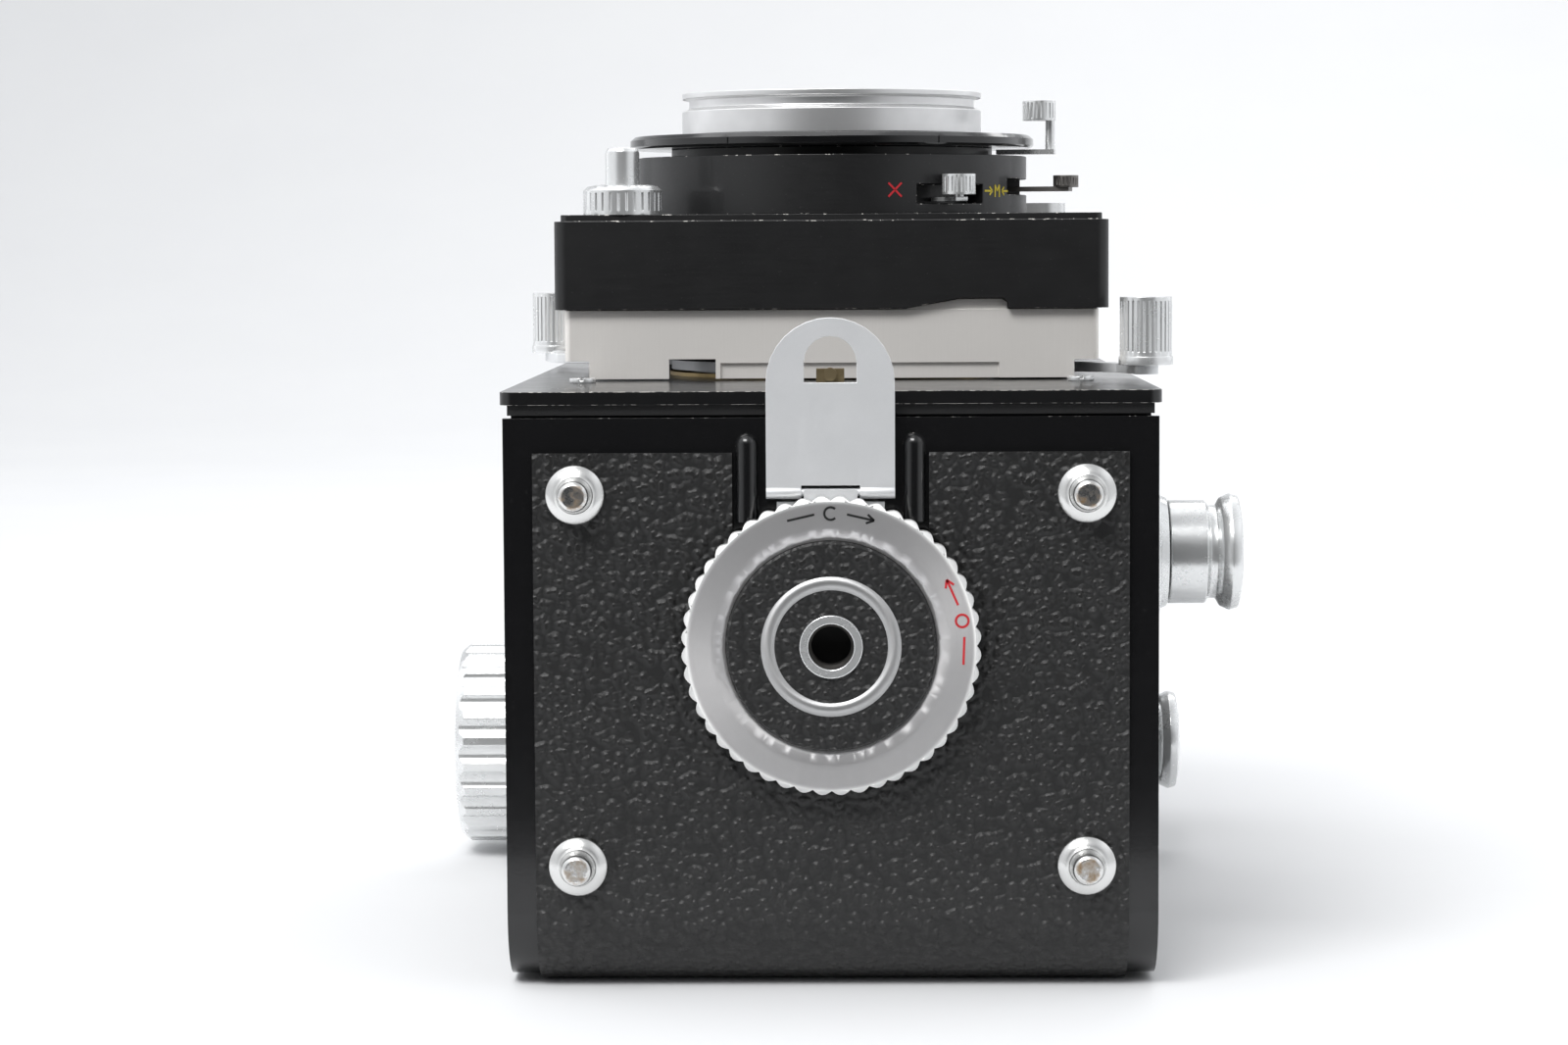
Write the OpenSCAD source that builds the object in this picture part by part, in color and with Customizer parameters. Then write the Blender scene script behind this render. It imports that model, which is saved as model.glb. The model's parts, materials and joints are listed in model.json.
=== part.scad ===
// Twin lens reflex camera for 120 roll film, lying on its back.
// X runs across the body, Y from the base to the viewing hood, Z along the optical axis.
// The origin is on the taking lens axis, on the surface that the back rests on.

/* [Body] */
// Width of the body
body_w = 75; // [73:0.5:84]
// Distance from the taking lens axis to the base
base_y = 58; // [57:0.5:66]
// Distance from the taking lens axis to the seat of the hood
top_y = 69; // [68:0.5:80]
// Depth from the back to the face of the front plate
body_d = 69.1; // [67:0.1:80]
// Thickness of the front plate
plate_t = 1.5; // [1:0.1:2]
// Radius of the edge where the base meets the back
heel_r = 8.5; // [4:0.5:10]
// Thickness of the pebbled covering
covering_t = 0.6; // [0.4:0.1:0.8]

/* [Film] */
// Length of a film spool
spool_l = 65.5; // [64:0.1:66]
// Radius of a spool's end flanges
spool_r = 12.4; // [11.5:0.1:12.6]
// Side of the square film gate
gate_w = 56; // [54:0.5:57]
// Height of the film plane above the back
film_z = 7.2; // [6.5:0.1:8]

/* [Back cover] */
// Thickness of the back cover
cover_t = 1.4; // [1:0.1:1.6]
// Distance between the feet across the base
feet_w = 58.4; // [50:0.2:60]
// Distance between the feet along the depth
feet_d = 42.8; // [36:0.2:46]
// Radius of a foot's flange
foot_r = 3.4; // [2.5:0.1:4]
// Height of a foot
foot_h = 4.2; // [3.6:0.1:5]
// Height of the lock's centre above the back
lock_z = 40.2; // [38:0.1:41]
// Outer radius of the lock ring
lock_r = 17.1; // [15:0.1:17.5]
// Number of scallops round the lock ring
lock_scallops = 48; // [24:4:60]
// Radius of the tripod socket's wall
tripod_r = 2.6; // [2.4:0.1:2.8]
// Width of the latch clip
clip_w = 14.7; // [12:0.1:16]

/* [Lens standard] */
// Distance between the taking and viewing lens axes
lens_gap = 43; // [42:0.5:46]
// Width of the black front cover
cover_w = 67.8; // [64:0.2:70]
// Height of the bright skirt under the front cover
skirt_h = 8.4; // [7:0.1:10]
// Height of the front cover
front_h = 11.7; // [9:0.1:13]
// Travel of the lens standard when focusing
focus_travel = 6.5; // [4:0.1:7]
// Radius of the shutter housing
shutter_r = 25; // [23:0.1:25.5]
// Radius of the taking lens rim
rim_r = 19.2; // [18:0.1:20]

/* [Knobs] */
// Radius of the winding knob
wind_r = 14; // [12:0.5:16]
// Radius of the flared cap on a spool knob
pull_r = 6.9; // [6.5:0.1:8]
// How far a spool knob pulls out
pull_travel = 6; // [4:0.5:7]
// Radius of a focusing lever's knurled grip
grip_r = 3.15; // [2.5:0.05:3.5]

/* [Viewing hood] */
// Length of the side and back flaps
flap_l = 27; // [24:0.5:28]
// Height of the fixed hood base
hood_h = 6; // [6:0.5:9]

/* [Hidden] */
$fn = 64;
// Clearances: a turning fit, a hinge fit and the gap between moving skins.
run = 0.05;
fit = 0.1;
gap = 0.3;
half_w = body_w / 2;
core_w = half_w - 1.3;
lip = 4;
plate_z = body_d - plate_t;
neck_z = plate_z - 1.5;
base_in = base_y - cover_t;
wall_x = max(spool_l / 2 + 0.4, gate_w / 2 + 5);
// Film path: the supply spool sits under the lens chamber, the take-up spool behind the mirror.
supply = [-(base_in - gap - spool_r - 1.3), 49.3];
take_up = [gate_w / 2 + spool_r + 2.6, film_z + 8.3];
roller_r = 1.9;
roller_y = gate_w / 2 + 1.9;
roller_z = film_z + roller_r;
core_r = 5.6;
spindle_r = 2.4;
shaft_r = 3;
// Cover hinge along the top edge of the back.
hinge = [top_y - 4.5, 2.4];
hinge_r = 2.1;
pin_r = 0.8;
cover_top = hinge[0] - 3;
knuckle = 20;
// Lock on the base.
disc_r = lock_r - 5.1;
boss_r = tripod_r + 1.02;
clip_top = body_d + 8.4;
clip_pin_z = lock_z + lock_r + 0.3;
channel = clip_w / 2 + 3.9;
// Lens standard.
skirt_z = body_d + 0.25;
cover_z = skirt_z + skirt_h;
shutter_z = cover_z + front_h;
skirt_w = cover_w - 2.4;
stand_lo = -27;
stand_hi = lens_gap + 26;
drum_h = 7.3;
slot_h = 1.1;
disc_h = 1.8;
disc_z = shutter_z + drum_h + slot_h;
rim_z = disc_z + disc_h;
rim_h = 5.3;
lens_bore = 12;
sleeve_r = 21;
helix_lo = plate_z + 2.5 - focus_travel;
// Focusing levers: a see-saw about the taking lens axis.
grip_at = [cover_w / 2 + 4.2, -30];
arm_z = [body_d + 0.75, body_d + 1.9];
grip_top = body_d + 10.1;
// Hood stack, from the back flap up to the lid.
hood_x = half_w - 1.5;
hood_lo = 4;
hood_hi = plate_z - 2;
flap_t = 0.8;
hood_top = top_y + hood_h;
back_y = hood_top + 1.2;
side_y = back_y + 1.7;
glass_y = side_y + 1.45;
lid_y = glass_y + 1.55;
lid_t = 1.3;
flap_x = hood_x - 2.4;
lid_pin_z = hood_hi - 1.6;
back_pin_z = hood_lo + 2.2;
magnifier_at = 28;
mirror_sum = top_y + 9;

// A block between two opposite corners.
module block(a, b) translate(a) cube(b - a);
// Round bars along each axis, from a to b; at gives the two other coordinates.
module rod_x(r, a, b, at) translate([a, at[0], at[1]]) rotate([0, 90, 0]) cylinder(r = r, h = b - a);
module rod_y(r, a, b, at) translate([at[0], a, at[1]]) rotate([-90, 0, 0]) cylinder(r = r, h = b - a);
module rod_z(r, a, b, at = [0, 0]) translate([at[0], at[1], a]) cylinder(r = r, h = b - a);
// Outlines pushed along each axis, from a to b.
module prism_x(pts, a, b) translate([a, 0, 0]) rotate([90, 0, 90]) linear_extrude(b - a) polygon(pts);
module prism_y(pts, a, b) translate([0, b, 0]) rotate([90, 0, 0]) linear_extrude(b - a) polygon(pts);
module prism_z(pts, a, b) translate([0, 0, a]) linear_extrude(b - a) polygon(pts);
// Points on an arc, and a rectangle with round corners.
function arc(c, r, from, to, n = 6) =
    [for (i = [0:n]) let (t = from + (to - from) * i / n) c + r * [cos(t), sin(t)]];
function round_rect(a, b, r, n = 5) = concat(
    arc([a[0] + r, a[1] + r], r, 180, 270, n), arc([b[0] - r, a[1] + r], r, 270, 360, n),
    arc([b[0] - r, b[1] - r], r, 0, 90, n), arc([a[0] + r, b[1] - r], r, 90, 180, n));
// A ring turned about the optical axis: an outline of radius and height.
module turned(pts, at = [0, 0]) translate([at[0], at[1], 0]) rotate_extrude() polygon(pts);
// A knob's outline turned about X: points are radius and distance from x.
module turned_x(pts, x, at) translate([x, at[0], at[1]]) rotate([0, 90, 0]) rotate_extrude() polygon(pts);
// Vertical grooves that knurl a round part's edge.
module knurl(r, n, depth, a, b) for (i = [0:n - 1]) rotate([0, 0, i * 360 / n])
    translate([r, 0, a]) rotate([0, 0, 45]) cube([depth, depth, b - a]);
// Where the side view's rooms lie: pairs of y and z.
chamber_y = gate_w / 2 + 1.4;
bracket_sum = mirror_sum - 2.9;
room_top = helix_lo - 1.2;
spool_room = [[chamber_y, -1], [take_up[0] + spool_r + 1, -1], [take_up[0] + spool_r + 1, take_up[1] + 4.5],
    [take_up[0] + 4, take_up[1] + spool_r + 1.6], [chamber_y, take_up[1] + spool_r + 1.6]];
mirror_room = [[bracket_sum - room_top, room_top], [bracket_sum - 25.4, 25.4],
    [take_up[0] + spool_r + 2.8, bracket_sum - take_up[0] - spool_r - 2.8],
    [take_up[0] + spool_r + 2.8, 9], [top_y + 1, 9], [top_y + 1, room_top]];
lens_room = [[-gate_w / 2, 6], [gate_w / 2, 6], [gate_w / 2, 20], [12.5, 60], [12.5, plate_z - 3],
    [-12.5, plate_z - 3], [-12.5, 60], [-gate_w / 2, 20]];
dial_at = [8, 46];
dial_r = 6.8;
lug_at = [top_y - 12, 34];
screws_at = [for (s = [-1, 1], p = [[30.2, -30.6], [half_w - 2.1, top_y - 6]]) [s * p[0], p[1]]];

// Cast body: outer shell with film chambers, lens room and mirror room.
module body_casting() color("dimgray") difference() {
    union() {
        prism_x(concat(bend(-gap, plate_z, hinge[0] - 4), [[hinge[0] - 4, plate_z]]), -core_w, core_w);
        block([-core_w, 0, lip + 1.2], [core_w, top_y, plate_z]);
        prism_x(concat(bend(cover_t - lip - gap, plate_z, top_y), [[top_y, plate_z]]),
            -half_w + covering_t, half_w - covering_t);
        block([-half_w + 0.5, -base_y + 0.5, neck_z + gap], [half_w - 0.5, top_y, plate_z]);
        for (s = [-1, 1]) block([s < 0 ? -knuckle - 9.5 : knuckle + gap, hinge[0] - 1, hinge[1]],
            [s < 0 ? -knuckle - gap : knuckle + 9.5, hinge[0] + 1.6, lip + 1.5]);
        for (s = [-1, 1]) rod_x(hinge_r, s < 0 ? -knuckle - 9.5 : knuckle + gap,
            s < 0 ? -knuckle - gap : knuckle + 9.5, hinge);
    }
    block([-wall_x, -base_y - 1, -1], [wall_x, -chamber_y, supply[1] + spool_r + 1]);
    prism_x(spool_room, -wall_x, wall_x);
    prism_x(mirror_room, -gate_w / 2 - 1, gate_w / 2 + 1);
    prism_x(lens_room, -gate_w / 2, gate_w / 2);
    block([-wall_x, -chamber_y - 6, -1], [wall_x, chamber_y + 6, film_z + 1.4]);
    for (s = [-1, 1]) rod_x(roller_r + gap, -wall_x, wall_x, [s * roller_y, roller_z]);
    for (s = [-1, 1]) rod_x(pin_r + run, -wall_x - 1.6, wall_x + 1.6, [s * roller_y, roller_z]);
    rod_z(sleeve_r, helix_lo, plate_z + 1);
    rod_z(17, room_top - 1, plate_z + 1, [0, lens_gap]);
    rod_x(spindle_r + run, wall_x - 1, half_w, supply);
    rod_x(spindle_r + run, wall_x - 1, half_w, take_up);
    rod_x(shaft_r + run, -half_w, -wall_x + 1, take_up);
    rod_x(dial_r + gap, -half_w, -half_w + covering_t + 1.7, dial_at);
    rod_x(pin_r + run, -half_w, -half_w + covering_t + 3, dial_at);
    rod_x(pin_r, -knuckle - 10, knuckle + 10, hinge);
    block([-hood_x + 5, top_y - 1.2, 8], [hood_x - 5, top_y + 1, plate_z - 3]);
}

// Thin plate behind the lens standard, a little wider than the body.
module front_plate() color("#2b2b2c") difference() {
    prism_z(round_rect([-half_w - 0.4, -base_y - 0.1], [half_w + 0.4, top_y], 1.6), plate_z, body_d);
    rod_z(sleeve_r, plate_z - 1, body_d + 1);
    rod_z(17, plate_z - 1, body_d + 1, [0, lens_gap]);
    for (p = screws_at) rod_z(1, plate_z - 1, body_d + 1, p);
}

// Pebbled covering on both sides of the body, cut round the knobs, the counter and the lugs.
module side_coverings() color("#242322") difference() {
    for (s = [-1, 1])
        prism_x(round_rect([-base_y + lip + 1.5, lip + 1.5], [top_y - 2.5, neck_z - 1.5], 2.5),
            s < 0 ? -half_w : half_w - covering_t, s < 0 ? -half_w + covering_t : half_w);
    rod_x(8.6, 0, half_w + 1, supply);
    rod_x(8.6, 0, half_w + 1, take_up);
    rod_x(10.8, -half_w - 1, 0, take_up);
    rod_x(dial_r + 1.9, -half_w - 1, 0, dial_at);
    for (s = [-1, 1]) rod_x(4.2, s < 0 ? -half_w - 1 : 0, s < 0 ? 0 : half_w + 1, lug_at);
}

// Frame with the two rails that the film runs on.
module film_gate() color("silver") difference() {
    union() {
        block([-wall_x + 0.5, -chamber_y + 2, film_z + 0.2], [wall_x - 0.5, chamber_y - 2, film_z + 1.4]);
        for (s = [-1, 1]) translate([s * (gate_w / 2 + 2.4), 0, 0])
            block([-1, -chamber_y + 2, film_z], [1, chamber_y - 2, film_z + 0.3]);
    }
    block([-gate_w / 2, -gate_w / 2 + 1.6, 0], [gate_w / 2, gate_w / 2 - 1.6, 20]);
}

// Slanting bracket and the mirror on it, given by the sum of y and z on each face.
module slanted(lo, hi, w, z0, z1)
    prism_x([[lo - z0, z0], [hi - z0, z0], [hi - z1, z1], [lo - z1, z1]], -w, w);
module mirror_bracket() color("#3a3a3c") slanted(bracket_sum, mirror_sum - 1.6, gate_w / 2 + 1, 27, room_top);
module reflex_mirror() color("lightblue")
    slanted(mirror_sum - 1.6, mirror_sum, gate_w / 2 - 1, 28.5, room_top - 1);

// Ground screen that the mirror throws the picture on.
module focusing_screen() color("whitesmoke")
    block([-gate_w / 2, top_y - 1.2, 10.2], [gate_w / 2, top_y + 0.4, plate_z - 4]);

// Fixed tube that the focusing helicoid turns in, and the light trap round it.
module helicoid_sleeve() color("#6b6a66") turned([[sleeve_r - 2.4, helix_lo], [sleeve_r, helix_lo],
    [sleeve_r, body_d + 0.45], [sleeve_r - 2.4, body_d + 0.45]]);

// Stepped rings on the body's sides that the knobs turn in.
module escutcheon(r, bore) rotate_extrude() polygon([[bore, -0.6], [r, -0.6], [r, 0.4], [r - 0.6, 1],
    [r - 1.6, 1], [r - 2, 2], [bore, 2]]);
module knob_escutcheons() color("gainsboro") {
    for (p = [supply, take_up]) translate([half_w, p[0], p[1]]) rotate([0, 90, 0])
        escutcheon(8.4, spindle_r + run);
    translate([-half_w, take_up[0], take_up[1]]) rotate([0, -90, 0]) escutcheon(10.6, shaft_r + run);
}

// Lugs for the neck strap: a round foot and an eye.
module strap_lugs() color("gainsboro") for (s = [-1, 1])
    translate([s * (half_w - covering_t), lug_at[0], lug_at[1]]) rotate([0, s * 90, 0]) difference() {
        union() {
            cylinder(r = 4, h = 1);
            translate([0, 0, 1]) cylinder(r1 = 2.4, r2 = 1.6, h = 1);
            translate([0, 1, 3.9]) rotate([90, 0, 0]) cylinder(r = 2.9, h = 2);
        }
        translate([0, 2, 4.2]) rotate([90, 0, 0]) cylinder(r = 1.5, h = 4);
    }

// Slotted screws that hold the front plate.
module plate_screws() color("gainsboro") for (p = screws_at) difference() {
    union() {
        rod_z(1, plate_z, body_d + 0.1, p);
        rod_z(1.6, body_d, body_d + 0.6, p);
    }
    translate([p[0], p[1], body_d + 0.6]) rotate([0, 0, p[0] * 3]) cube([4, 0.4, 0.6], center = true);
}

// Brass stud on the front plate that the cover's clip hooks over.
module latch_stud() color("goldenrod") {
    block([-1.6, -base_y + 0.6, body_d], [1.6, -base_y + 3, body_d + 2.5]);
    rod_y(0.75, -base_y - 0.55, -base_y + 1, [0, body_d + 1.9]);
}

// Window over the frame counter.
module counter_window() color("lightcyan") {
    rod_x(dial_r + 1.6, -half_w - 0.4, -half_w + covering_t, dial_at);
}

// Winding knob with broad flutes, on the user's right, and its spindle.
module winding_knob() color("gainsboro") {
    translate([-half_w - 2.4, take_up[0], take_up[1]]) rotate([0, -90, 0]) difference() {
        rotate_extrude() polygon([[0, 0], [9, 0], [9, 1.6], [wind_r - 1, 2.4], [wind_r, 3.2],
            [wind_r, 11.6], [wind_r - 1, 12.8], [wind_r - 4, 13.2], [0, 13.2]]);
        for (i = [0:23]) rotate([0, 0, 15 * i]) translate([wind_r + 1.1, 0, 2])
            cylinder(r = 1.7, h = 14);
    }
    rod_x(shaft_r, -half_w - 2.4, -wall_x + 0.3, take_up);
    rod_x(spindle_r, -wall_x, -wall_x + 6, take_up);
}

// A film spool: core, end flanges and a bore for the spindles.
module spool(at) difference() {
    union() {
        rod_x(core_r, -spool_l / 2, spool_l / 2, at);
        rod_x(spool_r, -spool_l / 2, -spool_l / 2 + 0.9, at);
        rod_x(spool_r, spool_l / 2 - 0.9, spool_l / 2, at);
    }
    rod_x(spindle_r + run, -spool_l, spool_l, at);
}
module take_up_spool() color("#222222") spool(take_up);
module supply_spool() color("#222222") spool(supply);

// Frame counter's dial under its window.
module counter_dial() color("whitesmoke") {
    rod_x(dial_r, -half_w + covering_t + 0.3, -half_w + covering_t + 1.3, dial_at);
    rod_x(pin_r, -half_w + covering_t + 0.5, -half_w + covering_t + 2.8, dial_at);
}

// Spool knobs that pull out to free the spool: knurled barrel, neck and flared cap.
module pull_knob(at) {
    turned_x([[0, 2.2], [6.1, 2.2], [6.1, 6.5], [5.5, 6.9], [5.5, 7.8], [pull_r - 0.5, 8.3],
        [pull_r, 9.4], [pull_r - 0.3, 10.4], [pull_r - 1.6, 10.7], [0, 10.7]], half_w, at);
    rod_x(spindle_r, spool_l / 2 + 1.5 - pull_travel, half_w + 2.4, at);
}
module supply_knob() color("gainsboro") pull_knob(supply);
module take_up_knob() color("gainsboro") pull_knob(take_up);

// Film rollers each side of the gate.
module roller(y) {
    rod_x(roller_r, -wall_x + 0.3, wall_x - 0.3, [y, roller_z]);
    rod_x(pin_r, -wall_x - 1.4, wall_x + 1.4, [y, roller_z]);
}
module lower_roller() color("silver") roller(-roller_y);
module upper_roller() color("silver") roller(roller_y);

// Focusing lever: a ring on the helicoid with an arm each side.
ring_z = [body_d + 0.7, body_d + 1.95];
elbow = [skirt_w / 2 + 3.6, -22.6];
arm_w = 3;
module link(p, q) {
    side = arm_w / 2 * [p[1] - q[1], q[0] - p[0]] / norm(q - p);
    prism_z([p + side, p - side, q - side, q + side], arm_z[0], arm_z[1]);
    rod_z(arm_w / 2, arm_z[0], arm_z[1], q);
}
module arm() {
    link([helix_r - 0.9, -10.5], elbow);
    link(elbow, grip_at);
}
module focus_lever() color("gainsboro") {
    difference() {
        union() {
            rod_z(sleeve_r - 0.2, ring_z[0], ring_z[1]);
            rod_z(sleeve_r - 2.4 - run, plate_z - 3, ring_z[1]);
        }
        rod_z(helix_r, plate_z - 5, ring_z[1] + 1);
    }
    for (s = [0, 180]) rotate([0, 0, s]) arm();
}
// Knurled grips at the ends of the arms.
module focus_grips() color("gainsboro") for (s = [0, 180])
    rotate([0, 0, s]) translate([grip_at[0], grip_at[1], 0]) {
    rod_z(grip_r + 0.15, arm_z[1], arm_z[1] + 1);
    difference() {
        rod_z(grip_r, arm_z[1] + 1, grip_top);
        knurl(grip_r + 0.12, 28, 0.4, arm_z[1] + 1.6, grip_top - 0.5);
    }
}

// The notch in the front cover's lower edge, where the skirt shows.
module cover_notch(slack, a, b) prism_y([[9.1 + slack, cover_z - 0.1], [9.1 + slack, cover_z + 0.1],
    [15.7 + slack, cover_z + 1.35 - slack], [21 - slack, cover_z + 1.35 - slack],
    [21.6 - slack, cover_z + 0.8], [21.6 - slack, cover_z - 0.1]], a, b);

// Bright skirt of the lens standard, notched at the foot for the levers.
module skirt_outline(inset) prism_z(round_rect([-skirt_w / 2 + inset, stand_lo + 1 + inset],
    [skirt_w / 2 - inset, stand_hi - 1 - inset], max(0.8 - inset, 0.2)), skirt_z, cover_z);
module standard_skirt() color("silver") {
    difference() {
        skirt_outline(0);
        translate([0, 0, -0.6]) skirt_outline(1.2);
        for (s = [-1, 1]) translate([s * skirt_w / 2, s * 4, 0])
            block([-3, -39, skirt_z - 1], [3, 39, skirt_z + 2.2]);
        block([-13.6, stand_lo, skirt_z - 1], [20.5, stand_lo + 1.4, skirt_z + 1.9]);
        block([-19.9, stand_lo, skirt_z - 1], [-14.2, stand_lo + 3, skirt_z + 2.4]);
        rod_z(helix_r, cover_z - 1, cover_z + 1);
        rod_z(14.4, cover_z - 1, cover_z + 1, [0, lens_gap]);
    }
    cover_notch(0.1, stand_lo + 1.1, stand_lo + 1.9);
}

// Black front cover over both lenses, with a notch in its lower edge.
module cover_outline(inset, a, b) prism_z(round_rect([-cover_w / 2 + inset, stand_lo + inset],
    [cover_w / 2 - inset, stand_hi - inset], max(1.6 - inset, 0.3)), a, b);
module front_cover() color("#1b1b1c") difference() {
    union() {
        cover_outline(0, cover_z + 0.1, shutter_z - 0.8);
        cover_outline(0.8, shutter_z - 0.8, shutter_z);
    }
    cover_outline(1.3, cover_z - 0.6, shutter_z - 1.5);
    rod_z(shutter_r - 1, shutter_z - 3, shutter_z + 1);
    rod_z(14.4, shutter_z - 3, shutter_z + 1, [0, lens_gap]);
    cover_notch(0, stand_lo - 1, stand_lo + 2);
    rod_z(2.9, shutter_z - 3, shutter_z + 1, release_at);
    rod_z(2.6, shutter_z - 3, shutter_z + 1, socket_at);
}

// Shutter: a drum with the slots that the levers run in.
release_at = [8.2 - cover_w / 2, stand_lo + 5.4];
socket_at = [cover_w / 2 - 5.5, 26];
helix_r = sleeve_r - 4.6;
module shutter_housing() color("#1d1d1e") difference() {
    union() {
        turned([[lens_bore + 1.4, helix_lo + gap], [helix_r - run, helix_lo + gap],
            [helix_r - run, cover_z + 2],
            [shutter_r - 1.2, shutter_z - 2], [shutter_r - 1.2, shutter_z], [shutter_r, shutter_z],
            [shutter_r, shutter_z + drum_h], [shutter_r - 4.4, shutter_z + drum_h],
            [shutter_r - 4.4, disc_z], [lens_bore + 1.4, disc_z]]);
    }
    rotate([0, 0, -53]) translate([0, 0, shutter_z + 1.2])
        rotate_extrude(angle = 24, start = -12) translate([shutter_r - 2.6, 0]) square([4, 2.4]);
    rotate([0, 0, -8]) translate([0, 0, shutter_z + 2.4])
        rotate_extrude(angle = 40, start = -20) translate([shutter_r - 2.6, 0]) square([4, 2]);
    translate([0, 0, shutter_z - 4]) turned([[lens_bore + 4, 0], [shutter_r - 4, 0], [shutter_r - 4, 8],
        [lens_bore + 4, 8]]);
}
// Glossy disc over the shutter.
module setting_disc() color("#111112") difference() {
    turned([[lens_bore + 1.5, disc_z], [shutter_r + 0.6, disc_z], [shutter_r + 0.9, disc_z + 0.3],
        [shutter_r + 0.9, disc_z + 1.1], [shutter_r + 0.3, disc_z + 1.6], [rim_r + 1, disc_z + disc_h],
        [lens_bore + 1.5, disc_z + disc_h]]);
    knurl(shutter_r + 1.15, 6, 0.5, disc_z - 1, disc_z + 3);
}
// Taking lens rim with its outer bayonet, and the cell inside the shutter.
module taking_lens_rim() color("gainsboro") turned([[10.7, shutter_z + 3.5],
    [lens_bore + 1.3, shutter_z + 3.5],
    [lens_bore + 1.3, rim_z], [rim_r, rim_z], [rim_r, rim_z + 3], [rim_r - 0.9, rim_z + 3.4],
    [rim_r - 0.9, rim_z + 4.4], [rim_r, rim_z + 4.6], [rim_r, rim_z + rim_h], [rim_r - 1.8, rim_z + rim_h],
    [rim_r - 2, rim_z + 3.6], [lens_bore, rim_z + 2.2], [10.7, rim_z + 2.2]]);
// A lens element: flat seat, straight edge and a domed face, either way up.
module element(r, seat, edge, dome, at = [0, 0]) turned(concat([[0, seat], [r, seat], [r, seat + edge]],
    [for (i = [1:9]) let (u = 1 - i / 10) [r * u, seat + edge + dome * (1 - u * u)]],
    [[0, seat + edge + dome]]), at);
module taking_front_element() color("lightblue") element(10.7, rim_z - 2.6, 2.4, 2);
module taking_rear_element() color("lightblue") element(lens_bore + 1.35, cover_z + 1, 2, 1.6);

// Viewing lens rim and barrel above the taking lens.
view_r = lens_gap - shutter_r - 1.2;
module viewing_lens_rim() color("gainsboro") turned([[12.6, body_d + 3], [14.2, body_d + 3],
    [14.2, shutter_z], [view_r, shutter_z], [view_r, shutter_z + 1.8], [view_r - 1.2, shutter_z + 2.4],
    [view_r - 1.2, shutter_z + 8], [view_r - 0.4, shutter_z + 8.4], [view_r - 0.4, shutter_z + 9.6],
    [view_r - 1.6, shutter_z + 9.6], [13.4, shutter_z + 7], [12.6, shutter_z + 6]], [0, lens_gap]);
module viewing_front_element() color("lightblue") element(12.6, shutter_z + 1, 3, 2.4, [0, lens_gap]);
module viewing_rear_element() color("lightblue") element(12.6, cover_z + 1, 2.4, 1.6, [0, lens_gap]);

// Shutter blades closed over the lens, and the iris leaves behind them.
module shutter_blades() color("#3c3c40") for (i = [0:4])
    rotate([0, 0, 72 * i]) translate([0, 0, shutter_z + 1 + 0.2 * i])
        linear_extrude(0.15) polygon(concat([[0, -2.4]], arc([0, 0], lens_bore + 1.2, -24, 60, 8)));
module iris_blades() color("#2e2e31") for (i = [0:4])
    rotate([0, 0, 72 * i]) translate([0, 0, shutter_z - 1 + 0.2 * i]) linear_extrude(0.15)
        polygon(concat(arc([0, 0], lens_bore + 1.2, -10, 76, 8), arc([0, 0], 5, 76, -10, 4)));

// Release: knurled collar, plunger and its return spring.
module release_collar() color("gainsboro") translate([release_at[0], release_at[1], 0]) difference() {
    union() {
        rod_z(2.8, shutter_z - 3, shutter_z + 1);
        turned([[0, shutter_z], [4.85, shutter_z], [4.85, shutter_z + 3], [4.3, shutter_z + 3.5],
            [3.2, shutter_z + 3.7], [0, shutter_z + 3.7]]);
    }
    rod_z(2.1 + run, shutter_z - 4, shutter_z + 5);
    knurl(4.95, 30, 0.4, shutter_z + 0.5, shutter_z + 2.7);
}
module release_button() color("whitesmoke") translate([release_at[0], release_at[1], 0]) difference() {
    turned([[0, shutter_z - 5], [2.7, shutter_z - 5], [2.7, shutter_z - 4], [2.1, shutter_z - 4],
        [2.1, shutter_z + 7.6], [1.8, shutter_z + 8.2], [0, shutter_z + 8.3]]);
    rod_z(0.9, shutter_z + 3, shutter_z + 9);
}
// Coil spring as one swept tube.
module coil(r, wire, turns, z0, z1, per_turn = 12, sides = 6) {
    rings = turns * per_turn;
    points = [for (i = [0:rings], k = [0:sides - 1])
        let (a = 360 * i / per_turn, b = 360 * k / sides, q = r + wire * cos(b))
        [q * cos(a), q * sin(a), z0 + (z1 - z0) * i / rings + wire * sin(b)]];
    skin = [for (i = [0:rings - 1], k = [0:sides - 1]) let (a = i * sides, n = (k + 1) % sides)
        [a + k, a + sides + k, a + sides + n, a + n]];
    polyhedron(points, concat([[for (k = [0:sides - 1]) k]], skin,
        [[for (k = [sides - 1:-1:0]) rings * sides + k]]));
}
module release_spring() color("silver") translate([release_at[0], release_at[1], 0])
    coil(1.9, 0.25, 5, cover_z + 0.5, shutter_z - 5.3);

// Flash socket between the lenses.
module sync_socket() color("gainsboro") translate([socket_at[0], socket_at[1], 0]) difference() {
    union() {
        rod_z(2.5, shutter_z - 3, shutter_z + 1);
        rod_z(3.1, shutter_z, shutter_z + 1.6);
    }
    difference() {
        rod_z(1.9, shutter_z - 2, shutter_z + 2);
        rod_z(0.6, shutter_z - 3, shutter_z + 1.2);
    }
}

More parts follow.
